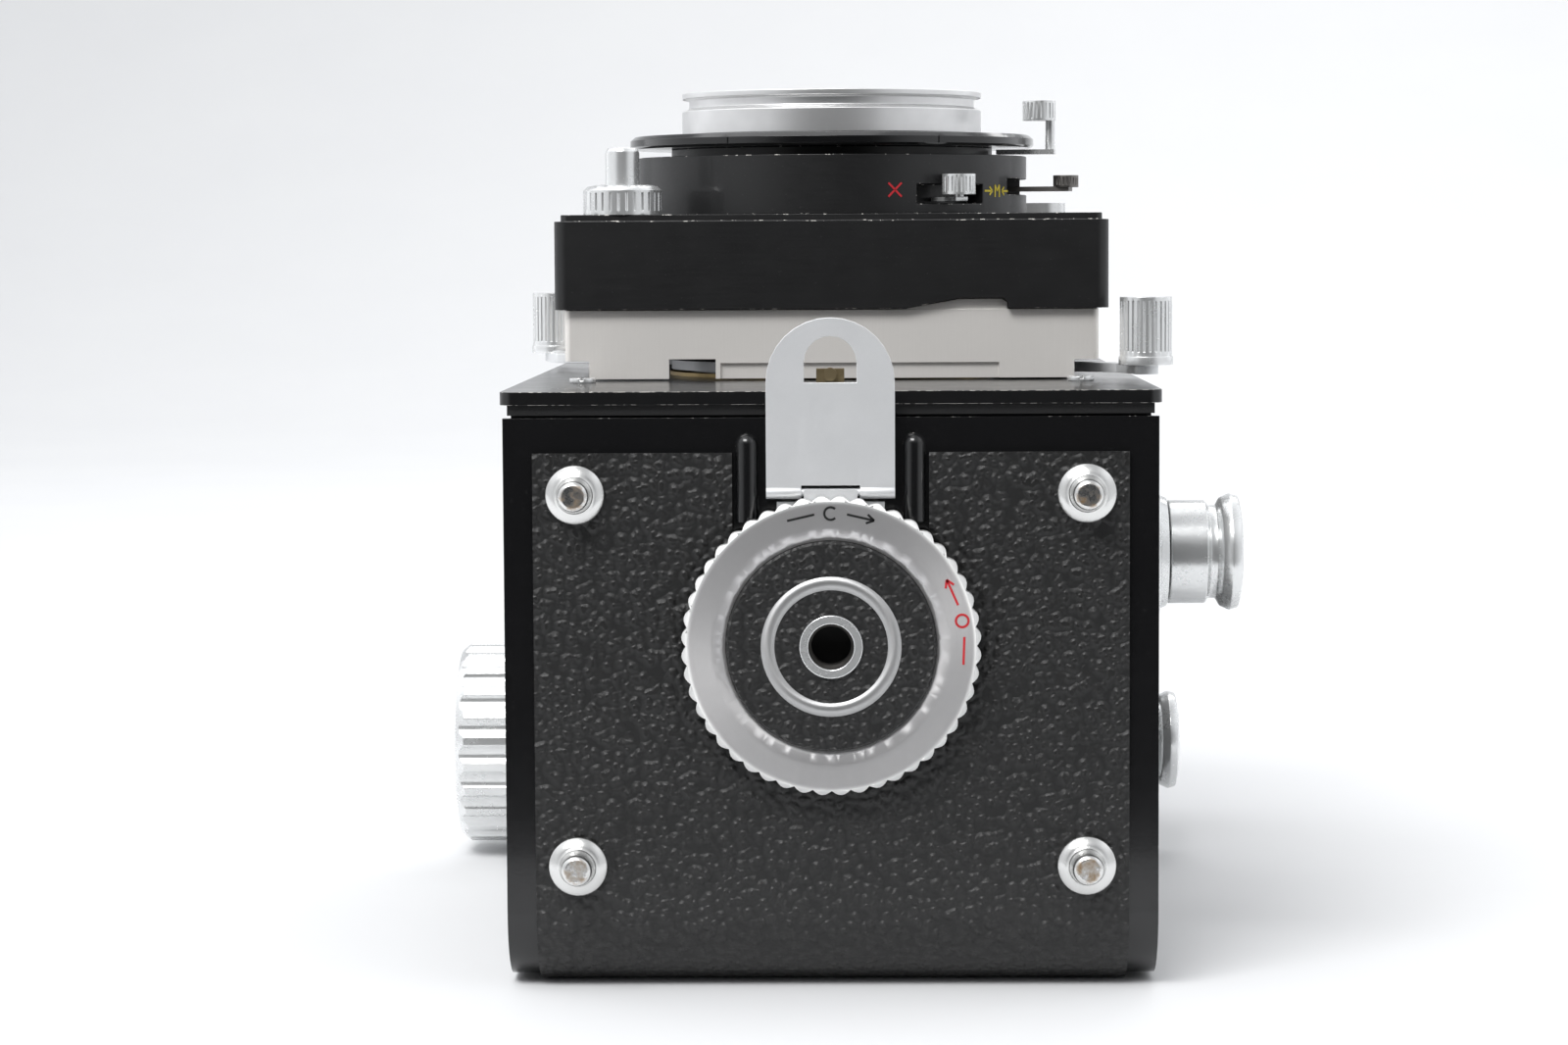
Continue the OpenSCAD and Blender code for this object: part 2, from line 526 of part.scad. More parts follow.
// Setting levers: a flat arm out of the shutter, a post and a knurled knob.
module lever_knob(at, r, z0, z1) translate([at, 0, 0]) difference() {
    rod_z(r, z0, z1);
    knurl(r + 0.1, 22, 0.3, z0 + 0.3, z1 - 0.3);
}
module setting_lever(turn, inner, at, width, arm_lo, arm_hi, knob, lo, hi, tuck = 0) rotate([0, 0, turn]) {
    block([inner, -width / 2, arm_lo], [at + 0.6, width / 2, arm_hi]);
    rod_z(0.6, arm_lo, lo + 0.1, [at, 0]);
    lever_knob(at - tuck, knob, lo, hi);
}
module aperture_lever() color("gainsboro") setting_lever(-9, shutter_r - 3.6, 28.2, 2.2,
    disc_z - 0.85, disc_z - 0.25, 2.1, rim_z + 1.6, rim_z + 4.1, 1.4);
module speed_lever() color("dimgray") setting_lever(-14, shutter_r - 2.2, 30.6, 2.4,
    shutter_z + 2.8, shutter_z + 3.4, 1.6, shutter_z + 3.3, shutter_z + 4.8);
module sync_lever() color("gainsboro") setting_lever(-55, shutter_r - 2.2, 27.4, 1.8,
    shutter_z + 1.5, shutter_z + 2, 2.05, shutter_z + 2.3, shutter_z + 4.8);

// Back cover: base and back in one bent shell with side lips, hinged along the top.
back_z = covering_t;
function bend(out, top, end) = let (r = max(heel_r - cover_t + out, 0.4), y = -base_y + cover_t - out,
    z = back_z + cover_t - out) concat([[end, z]], arc([y + r, z + r], r, 270, 180, 10), [[y, top]]);
function reversed(p) = [for (i = [len(p) - 1:-1:0]) p[i]];
module bent(outer, inner, top, end, a, b)
    prism_x(concat(bend(outer, top, end), reversed(bend(inner, top, end))), a, b);
module back_shell() color("#171718") {
    difference() {
        union() {
            bent(cover_t, 0, neck_z, cover_top, -half_w, half_w);
            rod_x(hinge_r, -knuckle, knuckle, hinge);
            block([-knuckle, cover_top - 1, back_z], [knuckle, hinge[0], back_z + cover_t]);
        }
        rod_x(pin_r + run, -knuckle - 1, knuckle + 1, hinge);
        rod_y(boss_r, -base_y - 1, -base_y + 3, [0, lock_z]);
    }
    for (s = [-1, 1]) rod_z(1.3, lock_z + disc_r + 2, neck_z - 3.1, [s * (channel - 1.7), -base_y - 0.1]);
    for (s = [-1, 1]) translate([s * (channel - 1.7), -base_y - 0.1, neck_z - 3.1]) sphere(r = 1.3);
}
// Lips along both sides of the cover that close over the body's walls.
module cover_side_lips() color("#171718") for (s = [-1, 1])
    bent(0, cover_t - lip, neck_z - 0.2, cover_top - 0.2,
        s < 0 ? -half_w : half_w - 1, s < 0 ? 1 - half_w : half_w);
// Pebbled covering over the base, round the heel and over the back.
module back_covering() color("#242322") difference() {
    bent(cover_t + covering_t, cover_t, neck_z - 4, cover_top - 3.5, -half_w + 3.4, half_w - 3.4);
    block([-channel, -base_y - 2, lock_z], [channel, -base_y + 1, neck_z]);
    rod_y(disc_r + 1.5, -base_y - 2, -base_y + 1, [0, lock_z]);
    for (p = feet_at) rod_y(foot_r - 1, -base_y - 2, -base_y + 1, p);
}
// Plate that holds the film flat, on two leaf springs.
module pressure_plate() color("#2a2a2b") {
    block([-wall_x + 1.2, -gate_w / 2 - 2.6, film_z - 1.7], [wall_x - 1.2, gate_w / 2 + 2.6, film_z - 0.5]);
    for (s = [-1, 1]) prism_x([[-16, back_z + cover_t], [16, back_z + cover_t], [10, back_z + cover_t + 0.4],
        [4, film_z - 1.6], [-4, film_z - 1.6], [-10, back_z + cover_t + 0.4]], s * 16 - 3, s * 16 + 3);
}
// Feet: a flange and a cone on each corner of the base.
foot_mid = 36;
feet_at = [for (s = [-1, 1], t = [-1, 1]) [s * feet_w / 2, foot_mid + t * feet_d / 2]];
module base_feet() color("gainsboro") for (p = feet_at) translate([p[0], -base_y, p[1]]) rotate([90, 0, 0])
    rotate_extrude() polygon([[0, 0], [foot_r - 1.1, 0], [foot_r - 1.1, covering_t], [foot_r, covering_t],
        [foot_r, covering_t + 0.7], [foot_r - 0.6, covering_t + 1.2], [2.1, covering_t + 1.5],
        [1.7, foot_h - 0.3 + covering_t], [1.3, foot_h + covering_t], [0, foot_h + covering_t]]);

// Cover lock: fixed disc, tripod bush, scalloped ring, slider and clip.
ring_lo = 1.9;
ring_hi = 3.7;
module facing(z) translate([0, -base_y, z]) rotate([90, 0, 0]) children();
module lock_disc() color("#242322") facing(lock_z) rotate_extrude() polygon([[boss_r + run, 0], [disc_r, 0],
    [disc_r, ring_hi - 0.1], [disc_r - 0.3, ring_hi + 0.2], [boss_r + run, ring_hi + 0.2]]);
module tripod_bush() color("gainsboro") facing(lock_z) difference() {
    translate([0, 0, -2.2]) cylinder(r = boss_r, h = ring_hi + 2.8);
    translate([0, 0, -1.2]) cylinder(r = tripod_r, h = 8);
}
scallop = 0.55;
module lock_ring() color("gainsboro") facing(lock_z) intersection() {
    rotate_extrude() polygon([[disc_r + run, ring_lo], [lock_r, ring_lo], [lock_r, ring_hi - 0.4],
        [lock_r - 0.6, ring_hi], [lock_r - 3.3, ring_hi], [disc_r + run, ring_hi - 0.7]]);
    linear_extrude(ring_hi + 1) polygon([for (i = [0:lock_scallops * 6 - 1])
        let (a = 60 * i / lock_scallops)
            (lock_r - scallop + scallop * abs(sin(30 * i))) * [cos(a), sin(a)]]);
}
clip_y = -base_y - 0.95;
clip_slot = 3.35;
slide = 2.2;
module latch_slider() color("silver") {
    block([-clip_w / 2 + 1.2, -base_y - 0.85, lock_z + disc_r + slide + 0.4],
        [clip_w / 2 - 1.2, -base_y - 0.1, clip_pin_z - 1.1]);
    block([-clip_slot + gap, -base_y - 1.45, clip_pin_z - 2],
        [clip_slot - gap, -base_y - 0.1, clip_pin_z + 0.3]);
    rod_x(0.45, -clip_w / 2 + 0.6, clip_w / 2 - 0.6, [clip_y, clip_pin_z]);
}
module latch_clip() color("silver") difference() {
    union() {
        prism_y(concat([[-clip_w / 2, clip_pin_z]], [[clip_w / 2, clip_pin_z]],
            arc([0, clip_top - clip_w / 2], clip_w / 2, 0, 180, 16)), clip_y - 0.55, clip_y + 0.55);
        rod_x(0.75, -clip_w / 2, clip_w / 2, [clip_y, clip_pin_z]);
    }
    prism_y(concat([[-3, body_d + 1]], [[3, body_d + 1]], arc([0, clip_top - 5.1], 3, 0, 180, 10)),
        clip_y - 2, clip_y + 2);
    rod_x(0.45 + run, -clip_w, clip_w, [clip_y, clip_pin_z]);
    block([-clip_slot, clip_y - 1, clip_pin_z - 2], [clip_slot, clip_y + 1.2, clip_pin_z + 0.8]);
}

// Viewing hood: a low wall on the body, folding flaps, a lid and a magnifier.
wall_y = lid_y - 0.5;
hood_pin = 0.35;
knuckle_r = 0.65;
module hood_base() color("#1d1d1e") {
    difference() {
        prism_y(round_rect([-hood_x, hood_lo], [hood_x, hood_hi], 2), top_y, wall_y);
        prism_y(round_rect([-hood_x + 1, hood_lo + 1], [hood_x - 1, hood_hi - 1], 1.2),
            top_y + 1.4, wall_y + 1);
        block([-gate_w / 2 - 3, top_y - 1, 8.2], [gate_w / 2 + 3, top_y + 3, plate_z - 3.2]);
    }
    for (s = [-1, 1]) block([s * 31 - 0.6, wall_y - 1, hood_hi - 2.2],
        [s * 31 + 0.6, lid_y + lid_t, hood_hi - 0.4]);
}
// Hinge pins of the hood and of the back cover.
module hinge_pins() color("silver") {
    rod_x(pin_r, -knuckle - 9.8, knuckle + 9.8, hinge);
    rod_x(hood_pin, -30.4, 30.4, [lid_y + lid_t / 2, lid_pin_z]);
    rod_x(hood_pin, -hood_x + 1, hood_x - 1, [back_y, back_pin_z]);
    for (s = [-1, 1]) rod_z(hood_pin, hood_lo + 1, hood_hi - 1, [s * flap_x, side_y]);
}
module hood_lid() color("#1b1b1c") difference() {
    union() {
        prism_y(round_rect([-hood_x, hood_lo], [hood_x, lid_pin_z - 1.4], 2.4), lid_y, lid_y + lid_t);
        block([-30, lid_y, lid_pin_z - 2], [30, lid_y + lid_t, lid_pin_z]);
        rod_x(knuckle_r, -30, 30, [lid_y + lid_t / 2, lid_pin_z]);
        for (s = [-1, 1]) block([s * 14.4 - 0.5, glass_y - 0.7, lid_pin_z - magnifier_at - 1.4],
            [s * 14.4 + 0.5, lid_y, lid_pin_z - magnifier_at + 1.4]);
    }
    rod_x(hood_pin + run, -31, 31, [lid_y + lid_t / 2, lid_pin_z]);
    rod_x(hood_pin + run, -16, 16, [glass_y, lid_pin_z - magnifier_at]);
}
// A side flap with its front end cut at 45 degrees, so that it folds under the lid.
module side_flap(s) difference() {
    union() {
        prism_y([for (p = [[0, back_pin_z + 1.4], [0, lid_pin_z - 1.6], [flap_l, lid_pin_z - 1.6 - flap_l],
            [flap_l, back_pin_z + 1.4]]) [s * (flap_x - p[0]), p[1]]],
            side_y - flap_t / 2, side_y + flap_t / 2);
        rod_z(knuckle_r, back_pin_z + 1.4, lid_pin_z - 1.6, [s * flap_x, side_y]);
    }
    rod_z(hood_pin + run, hood_lo, hood_hi, [s * flap_x, side_y]);
}
module hood_flap_left() color("#1b1b1c") side_flap(-1);
module hood_flap_right() color("#1b1b1c") side_flap(1);
module hood_flap_back() color("#1b1b1c") difference() {
    union() {
        prism_y([for (p = [[-1, 0], [1, 0], [1, flap_l], [-1, flap_l]])
            [p[0] * (flap_x - 1.6 - p[1]), back_pin_z + p[1]]], back_y - flap_t / 2, back_y + flap_t / 2);
        rod_x(knuckle_r, 1.6 - flap_x, flap_x - 1.6, [back_y, back_pin_z]);
    }
    rod_x(hood_pin + run, -hood_x, hood_x, [back_y, back_pin_z]);
}
// Folding magnifier under the lid: a frame on a pin, and its lens.
glass_z = lid_pin_z - magnifier_at - 13.5;
module magnifier_frame() color("#2a2a2b") difference() {
    union() {
        prism_y(round_rect([-13, glass_z - 13], [13, lid_pin_z - magnifier_at], 1.5),
            glass_y - 0.6, glass_y + 0.6);
        rod_x(hood_pin, -14.9, 14.9, [glass_y, lid_pin_z - magnifier_at]);
    }
    rod_y(10.5, glass_y - 2, glass_y + 2, [0, glass_z]);
}
module magnifier_lens() color("lightcyan") rod_y(10.45, glass_y - 0.55, glass_y + 0.55, [0, glass_z]);

body_casting();
front_plate();
side_coverings();
film_gate();
mirror_bracket();
reflex_mirror();
focusing_screen();
hood_base();
hinge_pins();
helicoid_sleeve();
knob_escutcheons();
strap_lugs();
plate_screws();
latch_stud();
counter_window();
winding_knob();
take_up_spool();
counter_dial();
supply_spool();
supply_knob();
take_up_knob();
lower_roller();
upper_roller();
focus_lever();
focus_grips();
standard_skirt();
front_cover();
shutter_housing();
setting_disc();
taking_lens_rim();
taking_front_element();
taking_rear_element();
viewing_lens_rim();
viewing_front_element();
viewing_rear_element();
shutter_blades();
iris_blades();
release_collar();
sync_socket();
release_button();
release_spring();
aperture_lever();
speed_lever();
sync_lever();
back_shell();
cover_side_lips();
back_covering();
pressure_plate();
base_feet();
lock_disc();
tripod_bush();
lock_ring();
latch_slider();
latch_clip();
hood_lid();
hood_flap_left();
hood_flap_right();
hood_flap_back();
magnifier_frame();
magnifier_lens();
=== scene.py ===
import json
import math
import bmesh
import bpy
from mathutils import Matrix, Vector

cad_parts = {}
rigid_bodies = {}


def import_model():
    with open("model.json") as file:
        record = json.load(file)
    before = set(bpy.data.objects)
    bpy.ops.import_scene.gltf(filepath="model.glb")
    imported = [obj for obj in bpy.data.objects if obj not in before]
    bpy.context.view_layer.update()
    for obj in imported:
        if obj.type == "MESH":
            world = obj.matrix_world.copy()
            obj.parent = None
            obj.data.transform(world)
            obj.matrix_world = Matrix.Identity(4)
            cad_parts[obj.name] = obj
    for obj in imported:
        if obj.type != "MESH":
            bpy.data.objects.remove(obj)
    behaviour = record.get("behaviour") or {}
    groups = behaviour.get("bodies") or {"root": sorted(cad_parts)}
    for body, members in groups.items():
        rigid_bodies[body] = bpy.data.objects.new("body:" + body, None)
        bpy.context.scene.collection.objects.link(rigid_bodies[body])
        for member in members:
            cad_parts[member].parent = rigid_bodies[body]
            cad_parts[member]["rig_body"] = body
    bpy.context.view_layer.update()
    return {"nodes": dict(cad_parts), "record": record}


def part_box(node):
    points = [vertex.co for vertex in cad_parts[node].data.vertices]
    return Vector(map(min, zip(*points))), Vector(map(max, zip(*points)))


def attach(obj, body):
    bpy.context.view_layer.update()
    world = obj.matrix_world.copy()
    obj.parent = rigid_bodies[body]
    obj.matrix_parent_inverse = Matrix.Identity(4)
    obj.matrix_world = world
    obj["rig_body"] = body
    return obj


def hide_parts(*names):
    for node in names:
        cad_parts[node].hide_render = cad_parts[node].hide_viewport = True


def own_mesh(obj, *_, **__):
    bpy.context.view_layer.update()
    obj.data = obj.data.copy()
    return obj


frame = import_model()
mm = 0.001
up = Vector((0, 0, 1))

# ---------------------------------------------------------------- finishes


class Wire:
    """The output of a node, so that maths on it reads as plain expressions."""

    def __init__(self, finish, socket):
        self.finish = finish
        self.socket = socket

    def maths(self, operation, first, second):
        return self.finish.node("ShaderNodeMath", {"operation": operation}, {0: first, 1: second})

    def __add__(self, other):
        return self.maths("ADD", self, other)

    def __sub__(self, other):
        return self.maths("SUBTRACT", self, other)

    def __rsub__(self, other):
        return self.maths("SUBTRACT", other, self)

    def __mul__(self, other):
        return self.maths("MULTIPLY", self, other)

    def __truediv__(self, other):
        return self.maths("DIVIDE", self, other)

    __radd__ = __add__
    __rmul__ = __mul__


class Finish:
    """A node-based material: one shader, and the nodes that vary it over a surface."""

    def __init__(self, name, **constants):
        self.material = bpy.data.materials.new(name)
        self.material.use_nodes = True
        self.tree = self.material.node_tree
        self.shader = self.tree.nodes["Principled BSDF"]
        for socket, value in constants.items():
            self.put(socket.replace("_", " "), value)
        self.place = self.node("ShaderNodeTexCoord", {}, {}, "Object")

    def put(self, socket, value):
        target = self.shader.inputs[socket]
        if isinstance(value, Wire):
            self.tree.links.new(value.socket, target)
        elif isinstance(value, tuple):
            target.default_value = (*value, 1)
        else:
            target.default_value = value

    def node(self, kind, settings, inputs, output=0):
        made = self.tree.nodes.new(kind)
        for name, value in settings.items():
            if name == "stops":
                ramp = made.color_ramp.elements
                while len(ramp) < len(value):
                    ramp.new(0.5)
                for stop, (at, shade) in zip(ramp, value):
                    stop.position = at
                    stop.color = (shade, shade, shade, 1)
            else:
                setattr(made, name, value)
        for socket, value in inputs.items():
            if isinstance(value, Wire):
                self.tree.links.new(value.socket, made.inputs[socket])
            else:
                made.inputs[socket].default_value = value
        return Wire(self, made.outputs[output])

    def stretched(self, scale, centre=(0, 0, 0)):
        """Object coordinates about a centre, squeezed or stretched along each axis."""
        shifted = [-s * c for s, c in zip(scale, centre)]
        return self.node("ShaderNodeMapping", {}, {"Vector": self.place, "Location": shifted, "Scale": scale})

    def noise(self, size, detail=3, where=None):
        """Cloudy noise whose features are about size metres."""
        inputs = {"Vector": where or self.place, "Scale": 1 / size, "Detail": detail}
        return self.node("ShaderNodeTexNoise", {}, inputs, "Fac")

    def ramp(self, value, *stops):
        return self.node("ShaderNodeValToRGB", {"stops": stops}, {"Fac": value}, "Color")

    def along(self, axis):
        return self.node("ShaderNodeSeparateXYZ", {}, {"Vector": self.place}, axis)

    def mix(self, factor, first, second):
        colours = {6: (*first, 1) if isinstance(first, tuple) else first,
                   7: (*second, 1) if isinstance(second, tuple) else second}
        return self.node("ShaderNodeMix", {"data_type": "RGBA"}, {0: factor, **colours}, 2)

    def bump(self, height, distance, strength=1.0):
        inputs = {"Height": height, "Distance": distance, "Strength": strength}
        self.put("Normal", self.node("ShaderNodeBump", {}, inputs))

    def worn_edge(self, grain, threshold):
        """One where a rounded edge has lost its paint: the edge faces, broken up by noise."""
        edge = self.node("ShaderNodeAttribute", {"attribute_name": "edge"}, {}, "Fac")
        return edge * self.ramp(self.noise(grain, 5), (threshold, 0), (threshold + 0.05, 1))


def pebbled_leather():
    f = Finish("pebbled_leather", IOR=1.5, Coat_Weight=0.2, Coat_Roughness=0.22)
    drift = f.node("ShaderNodeTexNoise", {}, {"Vector": f.place, "Scale": 420, "Detail": 2}, "Color")
    warped = f.node("ShaderNodeVectorMath", {"operation": "MULTIPLY_ADD"},
                    {0: drift, 1: (0.0009, 0.0009, 0.0009), 2: f.place})
    cells = {"Vector": warped, "Scale": 1050, "Smoothness": 0.6}
    pebble = f.node("ShaderNodeTexVoronoi", {"feature": "SMOOTH_F1"}, cells, "Distance")
    pebble_height_and_shade = f.ramp(pebble, (0.25, 1), (0.72, 0))
    fine = f.noise(0.18 * mm, 4)
    f.bump(pebble_height_and_shade + fine * 0.16, 0.3 * mm, 1.0)
    # painted shade and light: the base colour is darker in the creases between pebbles and lighter on their raised
    # tops
    f.put("Base Color", f.mix(pebble_height_and_shade, (0.003, 0.003, 0.003), (0.009, 0.0088, 0.0085)))
    f.put("Roughness", 0.5 - pebble_height_and_shade * 0.14 + fine * 0.12)
    return f.material


def black_enamel(name, wear, shine=0.16, rubbed=0.0):
    """Baked enamel with fine dust in its gloss and bare metal where an edge has worn.

    rubbed adds faint lines across the body, where the paint is dull from handling."""
    f = Finish(name, IOR=1.5, Coat_Roughness=0.08, Coat_Weight=0.35 - rubbed * 0.35)
    haze = f.noise(3.5 * mm, 6)
    lines = f.noise(0.3 * mm, 5, f.stretched((0.04, 1, 1)))
    speck = f.ramp(f.noise(0.35 * mm, 2), (0.69, 0), (0.73, 1))
    bare = f.worn_edge(0.7 * mm, wear)
    f.put("Base Color", f.mix(bare, f.mix(speck, (0.005, 0.005, 0.0055), (0.018, 0.018, 0.018)), (0.62, 0.6, 0.57)))
    f.put("Metallic", bare)
    f.put("Roughness", shine + haze * 0.12 + bare * 0.15 + lines * (rubbed * 0.25))
    f.bump(f.noise(0.5 * mm, 3) + lines * (rubbed * 1.2), 0.02 * mm, 0.35)
    return f.material


def satin_crackle(name, base=(0.012, 0.012, 0.0125)):
    """Matt black sprayed on a casting."""
    f = Finish(name, IOR=1.45)
    grit = f.noise(0.25 * mm, 4)
    f.put("Base Color", f.mix(grit, tuple(0.7 * c for c in base), tuple(1.5 * c for c in base)))
    f.put("Roughness", 0.5 + grit * 0.3)
    f.bump(grit, 0.06 * mm, 0.6)
    return f.material


def bright_metal(name, colour, rough, grain=(1, 1, 1), size=0.6 * mm, tarnish=0.12, metallic=1.0):
    """Plated or bare metal: brush lines along the stretched axis, faint stains, fine scratches."""
    f = Finish(name, Metallic=metallic)
    lines = f.noise(size, 6, f.stretched(grain))
    stain = f.ramp(f.noise(4 * mm, 5), (0.45, 0), (0.75, 1))
    dull = tuple(c * 0.62 for c in colour)
    f.put("Base Color", f.mix(stain * tarnish * 2 + lines * 0.15, colour, dull))
    f.put("Roughness", rough + lines * 0.14 + stain * tarnish)
    f.bump(lines, 0.015 * mm, 0.5)
    return f.material


def turned_metal(name, colour, rough, centre, flat, frosted=None):
    """Metal turned on a lathe: fine rings about a centre. flat names the two axes of the rings' plane.

    frosted is the radius beyond which the metal is pale and matt."""
    f = Finish(name, Metallic=0.8, Anisotropic=0.75)
    axis_left = next(axis for axis in "XYZ" if axis not in flat)
    f.put("Tangent", f.node("ShaderNodeTangent", {"direction_type": "RADIAL", "axis": axis_left}, {}))
    scale = [1 if axis in flat else 0 for axis in "XYZ"]
    radius = f.node("ShaderNodeVectorMath", {"operation": "LENGTH"}, {0: f.stretched(scale, centre)}, "Value")
    rings = f.node("ShaderNodeTexNoise", {"noise_dimensions": "1D"}, {"W": radius, "Scale": 9000, "Detail": 3}, "Fac")
    cloud = f.noise(2.5 * mm, 5)
    shade = f.mix(cloud * 0.5, colour, tuple(c * 0.72 for c in colour))
    if frosted:
        edge = f.ramp(radius / (2 * frosted), (0.495, 0), (0.505, 1))
        shade = f.mix(edge, shade, (0.93, 0.93, 0.92))
        rings = rings + edge * 2
    f.put("Base Color", shade)
    f.put("Roughness", rough + rings * 0.16 + cloud * 0.08)
    f.bump(rings, 0.012 * mm, 0.6)
    return f.material


def foot_metal(tip_y):
    """Bright feet whose tips have worn through the plating to brown brass."""
    f = Finish("foot_metal", Metallic=1.0)
    depth = (tip_y - f.along("Y")) / (0.9 * mm)
    worn = f.ramp(depth * -1 + f.noise(0.8 * mm, 5) * 1.2, (0.3, 1), (0.75, 0))
    f.put("Base Color", f.mix(worn, (0.74, 0.74, 0.73), (0.3, 0.17, 0.05)))
    f.put("Roughness", 0.2 + worn * 0.35 + f.noise(0.6 * mm) * 0.08)
    f.bump(f.noise(0.4 * mm, 4), 0.03 * mm, 0.4)
    return f.material


def coated_glass(name, tint):
    """Lens glass: a dark body, with the tinted sheen of its coating painted into the colour towards grazing angles.
    """
    f = Finish(name, IOR=1.7, Transmission_Weight=0.0, Coat_Weight=1.0, Coat_Roughness=0.02, Coat_IOR=1.7)
    grazing_sheen_painted = f.node("ShaderNodeLayerWeight", {}, {"Blend": 0.35}, "Facing")
    # painted sheen: the colour turns from dark to the coating's tint towards grazing angles
    f.put("Base Color", f.mix(grazing_sheen_painted, tuple(0.12 * c for c in tint), tint))
    f.put("Roughness", 0.03 + f.noise(6 * mm, 3) * 0.03)
    return f.material


def plain_paint(name, colour, rough=0.45, size=0.5 * mm):
    """Thin paint or ink with a slight mottle."""
    f = Finish(name)
    mottle = f.noise(size, 3)
    f.put("Base Color", f.mix(mottle, tuple(c * 0.8 for c in colour), colour))
    f.put("Roughness", rough + mottle * 0.15)
    f.bump(mottle, 0.01 * mm, 0.3)
    return f.material


def silvered_mirror():
    f = Finish("silvered_mirror", Metallic=1.0)
    f.put("Base Color", f.mix(f.noise(5 * mm), (0.8, 0.82, 0.84), (0.9, 0.92, 0.94)))
    f.put("Roughness", 0.02 + f.noise(9 * mm) * 0.03)
    return f.material


def pale_paper():
    f = Finish("pale_paper")
    f.put("Base Color", f.mix(f.noise(60 * mm, 4), (0.77, 0.775, 0.785), (0.8, 0.805, 0.81)))
    f.put("Roughness", 0.65 + f.noise(2 * mm) * 0.1)
    return f.material

# ---------------------------------------------------------------- making pieces


def body_of(node):
    return frame["nodes"][node]["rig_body"]


def finished(name, mesh_data, body, material, smooth=True):
    """Turns a bmesh into a piece in the frame, riding on a body."""
    bmesh.ops.recalc_face_normals(mesh_data, faces=mesh_data.faces)
    mesh = bpy.data.meshes.new(name)
    for face in mesh_data.faces:
        face.smooth = smooth
    mesh_data.to_mesh(mesh)
    mesh_data.free()
    piece = bpy.data.objects.new(name, mesh)
    bpy.context.scene.collection.objects.link(piece)
    piece.data.materials.append(material)
    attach(piece, body)
    return piece


def slot_of(node):
    rows = frame["record"]["subparts"]
    return next(row["material_slot"] for row in rows if row["node"] == node)


def softened(node, material, width, sharp=32, segments=2):
    """A copy of a CAD node with its sharp edges rounded, as the maker's tools leave them."""
    shape = bmesh.new()
    shape.from_mesh(frame["nodes"][node].data)
    bmesh.ops.remove_doubles(shape, verts=shape.verts, dist=0.004 * mm)
    bmesh.ops.dissolve_limit(shape, angle_limit=math.radians(0.6), verts=shape.verts, edges=shape.edges)
    edge_mark = shape.faces.layers.float.new("edge")
    corners = [e for e in shape.edges
               if len(e.link_faces) == 2 and e.calc_face_angle(0) > math.radians(sharp)]
    made = bmesh.ops.bevel(shape, geom=corners, offset=width, offset_type="OFFSET", affect="EDGES",
                           segments=segments, profile=0.5, material=-1, clamp_overlap=True)
    for face in made["faces"]:
        face[edge_mark] = 1
    piece = finished(node + "_finished", shape, body_of(node), material)
    tidy = piece.modifiers.new("even shading", "WEIGHTED_NORMAL")
    tidy.keep_sharp = True
    piece.data.set_sharp_from_angle(angle=math.radians(38))
    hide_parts(node)
    slot_of(node)
    return piece


def dress(node, material):
    """Gives a CAD node its material."""
    piece = frame["nodes"][node]
    piece.data.materials.clear()
    piece.data.materials.append(material)


def bar(shape, start, end, half, lift):
    """A flat stroke from start to end, half wide on each side, raised by lift along the normal."""
    run = (end - start).normalized()
    normal = lift.normalized()
    side = run.cross(normal) * half
    made = bmesh.ops.create_cube(shape, size=1)["verts"]
    centre = (start + end) / 2 + lift / 2
    basis = Matrix((run * (end - start).length, side * 2, lift)).transposed().to_4x4()
    bmesh.ops.transform(shape, matrix=Matrix.Translation(centre) @ basis, verts=made)


def arc_stroke(shape, centre, radius, first, last, half, lift, right, over, steps=20):
    """A curved stroke about a centre, between two angles, in the plane of right and over."""
    points = []
    for i in range(steps + 1):
        turn = math.radians(first + (last - first) * i / steps)
        points.append(centre + radius * (math.cos(turn) * right + math.sin(turn) * over))
    for start, end in zip(points, points[1:]):
        bar(shape, start, end + (end - start) * 0.05, half, lift)


def arrow(shape, tail, tip, half, lift, head):
    bar(shape, tail, tip, half, lift)
    back = (tail - tip).normalized()
    side = back.cross(lift.normalized())
    for turn in (-1, 1):
        bar(shape, tip, tip + (back + side * turn * 0.6).normalized() * head, half, lift)

# ---------------------------------------------------------------- materials in use

leather = pebbled_leather()
enamel = black_enamel("gloss_enamel", 0.6)
plate_enamel = black_enamel("chipped_enamel", 0.47, 0.24)
cover_enamel = black_enamel("satin_enamel", 0.6, 0.34, 0.5)
disc_enamel = black_enamel("disc_enamel", 0.8, 0.1)
casting = satin_crackle("sprayed_casting")
brushed = bright_metal("brushed_skirt", (0.92, 0.89, 0.85), 0.36, (1, 1, 0.02), 0.25 * mm, 0.04, 0.45)
satin = bright_metal("satin_nickel", (0.82, 0.83, 0.84), 0.38, (1, 1, 1), 0.12 * mm, 0.08, 0.5)
chrome = bright_metal("plated_knobs", (0.86, 0.87, 0.87), 0.16, (1, 1, 1), 0.5 * mm, 0.08, 0.7)
steel = bright_metal("plain_steel", (0.55, 0.55, 0.55), 0.3)
dark_steel = bright_metal("darkened_steel", (0.22, 0.21, 0.2), 0.35)
blade = bright_metal("blued_blades", (0.06, 0.06, 0.075), 0.28, (1, 1, 1), 0.3 * mm, 0.05)
brass = bright_metal("worn_brass", (0.5, 0.38, 0.19), 0.36)
stud_brass = bright_metal("dull_brass", (0.3, 0.24, 0.14), 0.42)
ring_low, ring_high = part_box("lock_ring")
lock_centre = (ring_low + ring_high) / 2
ring_r = (ring_high.x - ring_low.x) / 2
turned_ring = turned_metal("turned_lock_ring", (0.74, 0.73, 0.73), 0.26, lock_centre, "XZ", ring_r - 0.75 * mm)
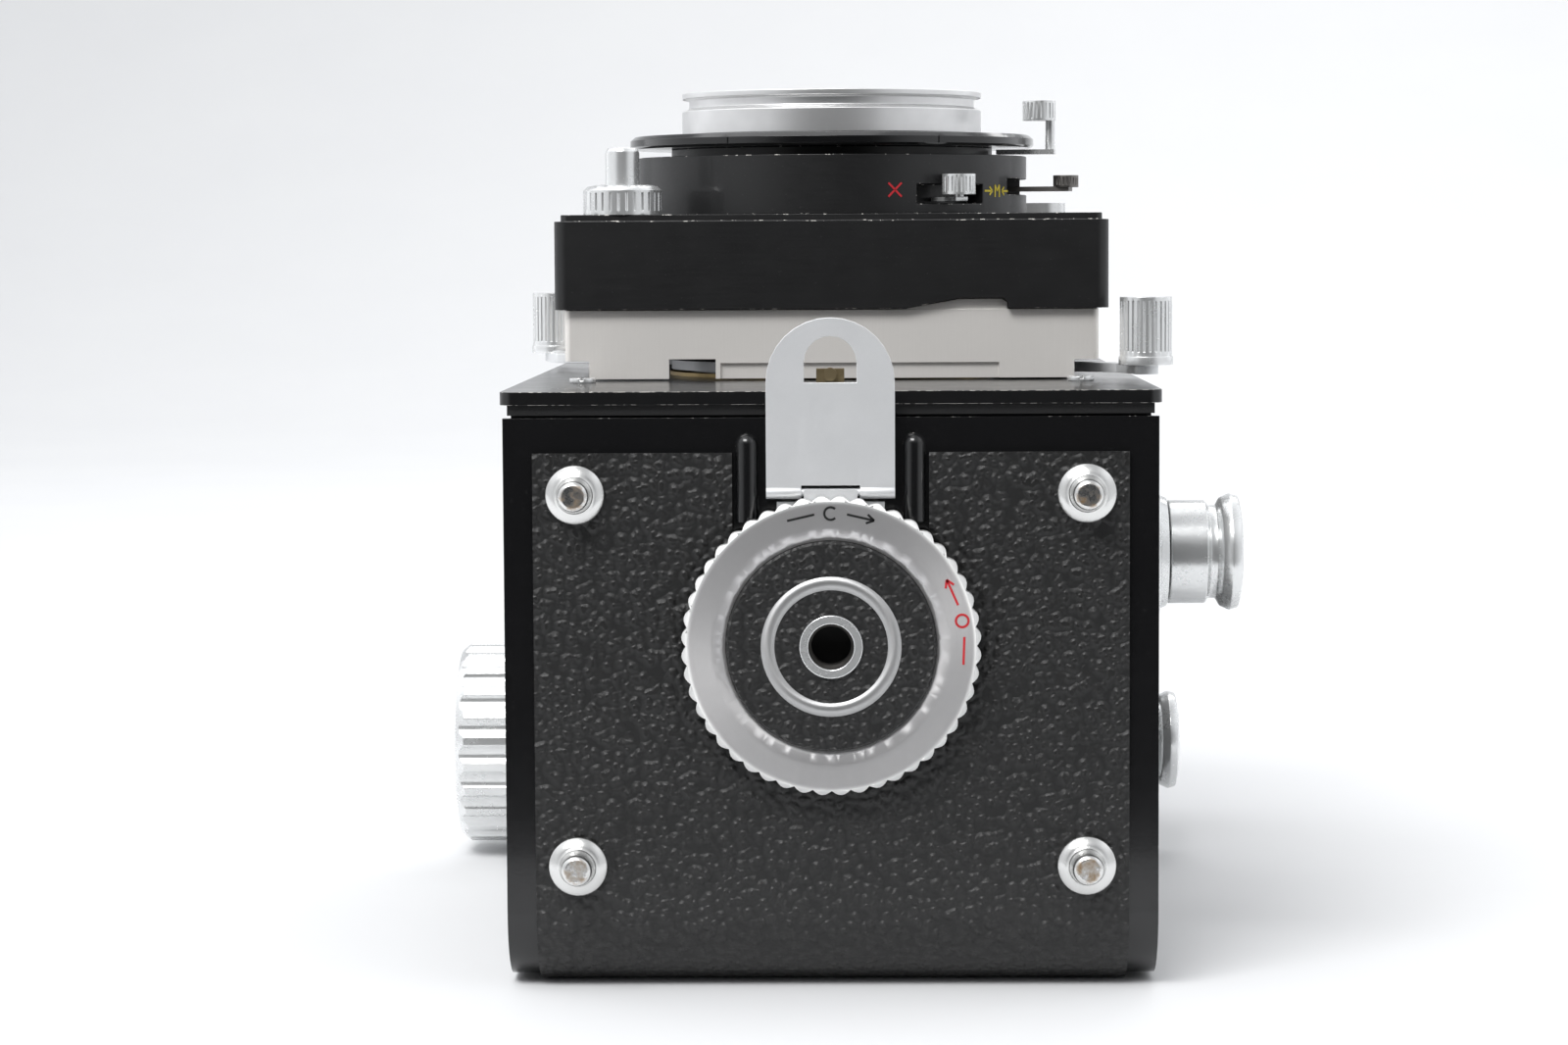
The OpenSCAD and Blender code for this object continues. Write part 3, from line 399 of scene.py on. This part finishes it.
turned_rim = turned_metal("turned_lens_rim", (0.92, 0.92, 0.92), 0.2, (0, 0, 0), "XY")
front_glass = coated_glass("lens_coating", (0.16, 0.1, 0.3))
clear_glass = coated_glass("clear_glass", (0.1, 0.14, 0.18))
mirror = silvered_mirror()
screen = plain_paint("ground_screen", (0.62, 0.62, 0.58), 0.6)
spool_paint = plain_paint("spool_paint", (0.015, 0.015, 0.015), 0.35)
dial_paint = plain_paint("dial_paint", (0.8, 0.78, 0.72), 0.5)
# black ink for the marks, also used as painted shade for the floor of the tripod hole
black_ink_and_shade = plain_paint("black_ink_and_shade", (0.01, 0.01, 0.01), 0.5)
red_ink = plain_paint("red_ink", (0.62, 0.02, 0.03), 0.45)
yellow_ink = plain_paint("yellow_ink", (0.75, 0.6, 0.03), 0.45)
feet_metal = foot_metal(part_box("base_feet")[0].y)

# ---------------------------------------------------------------- CAD nodes

rounded = {
    "back_shell": (enamel, 0.9 * mm),
    "front_plate": (plate_enamel, 0.16 * mm),
    "front_cover": (cover_enamel, 0.3 * mm),
    "hood_base": (cover_enamel, 0.2 * mm),
    "hood_lid": (cover_enamel, 0.3 * mm),
    "standard_skirt": (brushed, 0.12 * mm),
    "shutter_housing": (cover_enamel, 0.1 * mm),
    "setting_disc": (disc_enamel, 0.12 * mm),
    "taking_lens_rim": (turned_rim, 0.12 * mm),
    "viewing_lens_rim": (turned_metal("turned_viewing_rim", (0.8, 0.8, 0.79), 0.2,
                                      (0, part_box("viewing_lens_rim")[0].y / 2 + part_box("viewing_lens_rim")[1].y / 2, 0),
                                      "XY"), 0.12 * mm),
    "latch_clip": (satin, 0.14 * mm),
    "lock_ring": (turned_ring, 0.08 * mm),
    "winding_knob": (chrome, 0.18 * mm),
    "supply_knob": (chrome, 0.12 * mm),
    "take_up_knob": (chrome, 0.12 * mm),
    "knob_escutcheons": (chrome, 0.1 * mm),
    "base_feet": (feet_metal, 0.12 * mm),
    "tripod_bush": (chrome, 0.14 * mm),
    "release_collar": (chrome, 0.08 * mm),
    "release_button": (chrome, 0.1 * mm),
    "focus_grips": (chrome, 0.07 * mm),
    "focus_lever": (satin, 0.12 * mm),
    "aperture_lever": (chrome, 0.06 * mm),
    "speed_lever": (dark_steel, 0.06 * mm),
    "sync_lever": (chrome, 0.06 * mm),
    "strap_lugs": (chrome, 0.12 * mm),
    "plate_screws": (chrome, 0.06 * mm),
}
plain = {
    "body_casting": casting, "side_coverings": leather, "back_covering": leather, "film_gate": steel,
    "mirror_bracket": casting, "reflex_mirror": mirror, "focusing_screen": screen,
    "hinge_pins": steel, "helicoid_sleeve": brass, "latch_stud": stud_brass, "counter_window": clear_glass,
    "take_up_spool": spool_paint, "counter_dial": dial_paint,
    "supply_spool": spool_paint, "lower_roller": steel, "upper_roller": steel,
    "taking_front_element": front_glass, "taking_rear_element": front_glass,
    "viewing_front_element": front_glass, "viewing_rear_element": clear_glass,
    "shutter_blades": blade, "iris_blades": blade, "sync_socket": chrome, "release_spring": steel,
    "pressure_plate": casting, "cover_side_lips": enamel, "lock_disc": leather, "latch_slider": satin, "hood_flap_left": cover_enamel,
    "hood_flap_right": cover_enamel, "hood_flap_back": cover_enamel, "magnifier_frame": casting,
    "magnifier_lens": clear_glass,
}
for node, (material, width) in rounded.items():
    softened(node, material, width)
for node, material in plain.items():
    dress(node, material)

spring_low, spring_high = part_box("release_spring")
press = next(joint for joint in frame["record"]["behaviour"]["joints"] if joint["name"] == "release_press")
spring_length = spring_high.z - spring_low.z
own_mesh(frame["nodes"]["release_spring"], "release_press", axis=(0, 0, 1), anchor=tuple(spring_low),
          keep=(spring_length - press["range_m"][1] - 0.1 * mm) / spring_length)

# ---------------------------------------------------------------- marks on the lock and the shutter

across = Vector((1, 0, 0))
outward = Vector((0, -1, 0))


def on_ring(radius, turn):
    """A point on the lock ring's face, turned clockwise from the top."""
    a = math.radians(turn)
    return Vector((lock_centre.x + radius * math.sin(a), ring_low.y, lock_centre.z + radius * math.cos(a)))


def lock_mark(name, letter, middle, spread, material):
    """A letter between a dash and an arrow that follow the lock ring round its face."""
    radius = ring_r - 1.9 * mm
    ink = outward * 0.03 * mm
    half = 0.13 * mm
    shape = bmesh.new()
    right = Vector((math.cos(math.radians(middle)), 0, -math.sin(math.radians(middle))))
    over = Vector((math.sin(math.radians(middle)), 0, math.cos(math.radians(middle))))
    letter(shape, on_ring(radius, middle), half, ink, right, over)
    reach = math.copysign(1, spread)
    bar(shape, on_ring(radius, middle - reach * 7), on_ring(radius, middle - spread), half, ink)
    arrow(shape, on_ring(radius, middle + reach * 7), on_ring(radius, middle + spread), half, ink, 1.0 * mm)
    finished(name, shape, "cover_lock", material, smooth=False)


def letter_c(shape, centre, half, ink, right, over):
    arc_stroke(shape, centre, 0.72 * mm, 45, 315, half, ink, right, over)


def letter_o(shape, centre, half, ink, right, over):
    arc_stroke(shape, centre, 0.72 * mm, 0, 360, half, ink, right, over)


lock_mark("close_mark", letter_c, 0, 19, black_ink_and_shade)
lock_mark("open_mark", letter_o, 79, -19, red_ink)

drum_low, drum_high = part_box("shutter_housing")
drum_r = drum_high.x
cover_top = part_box("front_cover")[1].z


def drum_mark(name, turn, height, strokes, material):
    """Strokes on the shutter's drum: pairs of points, across and up from a place on its wall."""
    a = math.radians(turn)
    normal = Vector((math.sin(a), -math.cos(a), 0))
    right = Vector((math.cos(a), math.sin(a), 0))
    centre = normal * (drum_r + 0.01 * mm) + up * (cover_top + height)
    shape = bmesh.new()
    for (x0, z0), (x1, z1) in strokes:
        bar(shape, centre + right * x0 * mm + up * z0 * mm, centre + right * x1 * mm + up * z1 * mm,
            0.12 * mm, normal * 0.03 * mm)
    finished(name, shape, "lens_standard", material, smooth=False)


cross = [((-0.85, -0.85), (0.85, 0.85)), ((-0.85, 0.85), (0.85, -0.85))]
arrow_right = [((-0.8, 0), (0.8, 0)), ((0.8, 0), (0.2, 0.5)), ((0.8, 0), (0.2, -0.5))]
arrow_left = [((-x0, z0), (-x1, z1)) for (x0, z0), (x1, z1) in arrow_right]
letter_m = [((-0.5, -0.75), (-0.5, 0.75)), ((-0.5, 0.75), (0, 0)), ((0, 0), (0.5, 0.75)), ((0.5, 0.75), (0.5, -0.75))]
drum_mark("sync_x_mark", 18.3, 2.9 * mm, cross, red_ink)
drum_mark("sync_m_arrow", 51.6, 2.8 * mm, arrow_right, yellow_ink)
drum_mark("sync_m_mark", 56, 2.8 * mm, letter_m, yellow_ink)
drum_mark("sync_m_arrow_back", 60.4, 2.8 * mm, arrow_left, yellow_ink)

# ---------------------------------------------------------------- silver ring in the lock's disc

disc_low, disc_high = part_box("lock_disc")


def inlay_ring(name, outer, inner, proud, material):
    """A flat ring let into the leather of the lock's disc, with rounded edges."""
    shape = bmesh.new()
    half = 0.35 * mm
    profile = [(inner, half), (inner + 0.12 * mm, -proud), (outer - 0.12 * mm, -proud), (outer, half)]
    points = [shape.verts.new((lock_centre.x + r, disc_low.y + y, lock_centre.z)) for r, y in profile]
    edges = [shape.edges.new(pair) for pair in zip(points, points[1:] + points[:1])]
    bmesh.ops.spin(shape, geom=points + edges, cent=lock_centre, axis=(0, 1, 0), dvec=(0, 0, 0),
                   angle=math.tau, steps=128, use_merge=True)
    bmesh.ops.remove_doubles(shape, verts=shape.verts, dist=0.001 * mm)
    return finished(name, shape, "back_cover", material)


inlay_metal = turned_metal("turned_inlay", (0.5, 0.5, 0.5), 0.3, lock_centre, "XZ")
inlay_ring("lock_disc_inlay", 8.1 * mm, 6.35 * mm, 0.06 * mm, inlay_metal)
bush_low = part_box("tripod_bush")[0]


def spun(name, profile, material):
    """A closed outline of radius and depth, turned about the lock's axis."""
    shape = bmesh.new()
    points = [shape.verts.new((lock_centre.x + r, bush_low.y + y, lock_centre.z)) for r, y in profile]
    edges = [shape.edges.new(pair) for pair in zip(points, points[1:] + points[:1])]
    bmesh.ops.spin(shape, geom=points + edges, cent=lock_centre, axis=(0, 1, 0), dvec=(0, 0, 0),
                   angle=math.tau, steps=64, use_merge=True)
    bmesh.ops.remove_doubles(shape, verts=shape.verts, dist=0.001 * mm)
    piece = finished(name, shape, "back_cover", material)
    piece.data.set_sharp_from_angle(angle=math.radians(30))
    return piece


thread_pitch = 0.85 * mm
bore_r = 2.6 * mm
thread = [(bore_r, 0.5 * mm)]
for turn in range(5):
    start = 0.6 * mm + turn * thread_pitch
    thread += [(bore_r - 0.02 * mm, start), (bore_r - 0.3 * mm, start + thread_pitch / 2)]
thread += [(bore_r - 0.02 * mm, 0.6 * mm + 5 * thread_pitch), (bore_r + 0.01 * mm, 0.6 * mm + 5 * thread_pitch)]
spun("tripod_thread", thread, dark_steel)
# painted shade: a black disc at the bottom of the tripod hole stands in for the shade deep in the bore
floor_y = 5.3 * mm
spun("tripod_hole_floor", [(0, floor_y), (bore_r - 0.01 * mm, floor_y), (bore_r - 0.01 * mm, floor_y + 0.15 * mm),
                           (0, floor_y + 0.15 * mm)], black_ink_and_shade)

# ---------------------------------------------------------------- floor, lights and camera


def floor_sheet():
    """A pale sheet on the table that curves up behind the object."""
    shape = bmesh.new()
    reach, rise, bend = 1.6, 1.6, 0.9
    line = [(-0.15, 0.0), (1.0, 0.0)]
    for i in range(1, 13):
        turn = math.radians(90 * i / 12)
        line.append((1.0 + bend * math.sin(turn), bend * (1 - math.cos(turn))))
    line.append((1.0 + bend, bend + rise))
    points = [shape.verts.new((-reach, y, z)) for y, z in line]
    edges = [shape.edges.new(pair) for pair in zip(points, points[1:])]
    made = bmesh.ops.extrude_edge_only(shape, edges=edges)["geom"]
    moved = [g for g in made if isinstance(g, bmesh.types.BMVert)]
    bmesh.ops.translate(shape, vec=(2 * reach, 0, 0), verts=moved)
    for face in shape.faces:
        face.smooth = True
    bmesh.ops.recalc_face_normals(shape, faces=shape.faces)
    mesh = bpy.data.meshes.new("floor_sheet")
    shape.to_mesh(mesh)
    shape.free()
    sheet = bpy.data.objects.new("floor_sheet", mesh)
    bpy.context.scene.collection.objects.link(sheet)
    sheet.data.materials.append(pale_paper())


def soft_light(name, place, target, size, power, colour=(1, 1, 1)):
    lamp = bpy.data.lights.new(name, "AREA")
    lamp.shape = "RECTANGLE"
    lamp.size, lamp.size_y = size
    lamp.energy = power
    lamp.color = colour
    rig = bpy.data.objects.new(name, lamp)
    rig.location = place
    rig.rotation_euler = (Vector(target) - Vector(place)).to_track_quat("-Z", "Y").to_euler()
    bpy.context.scene.collection.objects.link(rig)


floor_sheet()


def room_light():
    """A room that is bright overhead, behind and to the sides, and dim on the viewer's side."""
    world = bpy.data.worlds.new("room")
    world.use_nodes = True
    tree = world.node_tree
    way = tree.nodes.new("ShaderNodeTexCoord")
    parts = tree.nodes.new("ShaderNodeSeparateXYZ")
    tree.links.new(way.outputs["Generated"], parts.inputs[0])
    level = tree.nodes.new("ShaderNodeValue").outputs[0]
    level.default_value = 0.05
    for axis, operation, low, high, gain in (("Z", "ADD", 0.2, 0.8, 0.6), ("Y", "ADD", 0, 0.7, 0.5),
                                             ("X", "ABSOLUTE", 0.35, 0.85, 0.75)):
        side = tree.nodes.new("ShaderNodeMath")
        side.operation = operation
        side.inputs[1].default_value = 0
        tree.links.new(parts.outputs[axis], side.inputs[0])
        spread = tree.nodes.new("ShaderNodeMapRange")
        spread.interpolation_type = "SMOOTHSTEP"
        for name, value in (("From Min", low), ("From Max", high), ("To Max", gain)):
            spread.inputs[name].default_value = value
        tree.links.new(side.outputs[0], spread.inputs["Value"])
        total = tree.nodes.new("ShaderNodeMath")
        tree.links.new(level, total.inputs[0])
        tree.links.new(spread.outputs["Result"], total.inputs[1])
        level = total.outputs[0]
    sky = tree.nodes["Background"]
    sky.inputs["Color"].default_value = (0.96, 0.975, 1, 1)
    ray = tree.nodes.new("ShaderNodeLightPath")
    seen = tree.nodes.new("ShaderNodeMix")
    seen.inputs[3].default_value = 0.93
    tree.links.new(ray.outputs["Is Camera Ray"], seen.inputs[0])
    tree.links.new(level, seen.inputs[2])
    tree.links.new(seen.outputs[0], sky.inputs["Strength"])
    bpy.context.scene.world = world


room_light()
soft_light("top_light", (-0.2, 0.1, 0.8), (0, 0, 0.05), (0.6, 0.6), 0.9)
soft_light("front_light", (-0.25, -0.55, 0.75), (0, 0, 0.05), (0.5, 0.35), 6.5)
soft_light("back_light", (0.3, 0.9, 0.9), (0, 1.2, 0.2), (1.0, 0.5), 6)

camera = bpy.data.cameras.new("camera")
camera.sensor_width = 36
camera.lens = 86.6
camera.clip_start = 0.02
viewer = bpy.data.objects.new("camera", camera)
viewer.location = (0.0024, -0.488, 0.0865)
viewer.rotation_euler = (math.radians(90 - 4.31), math.radians(0.3), math.radians(1.01))
bpy.context.scene.collection.objects.link(viewer)
bpy.context.scene.camera = viewer
bpy.context.scene.view_settings.view_transform = "Standard"
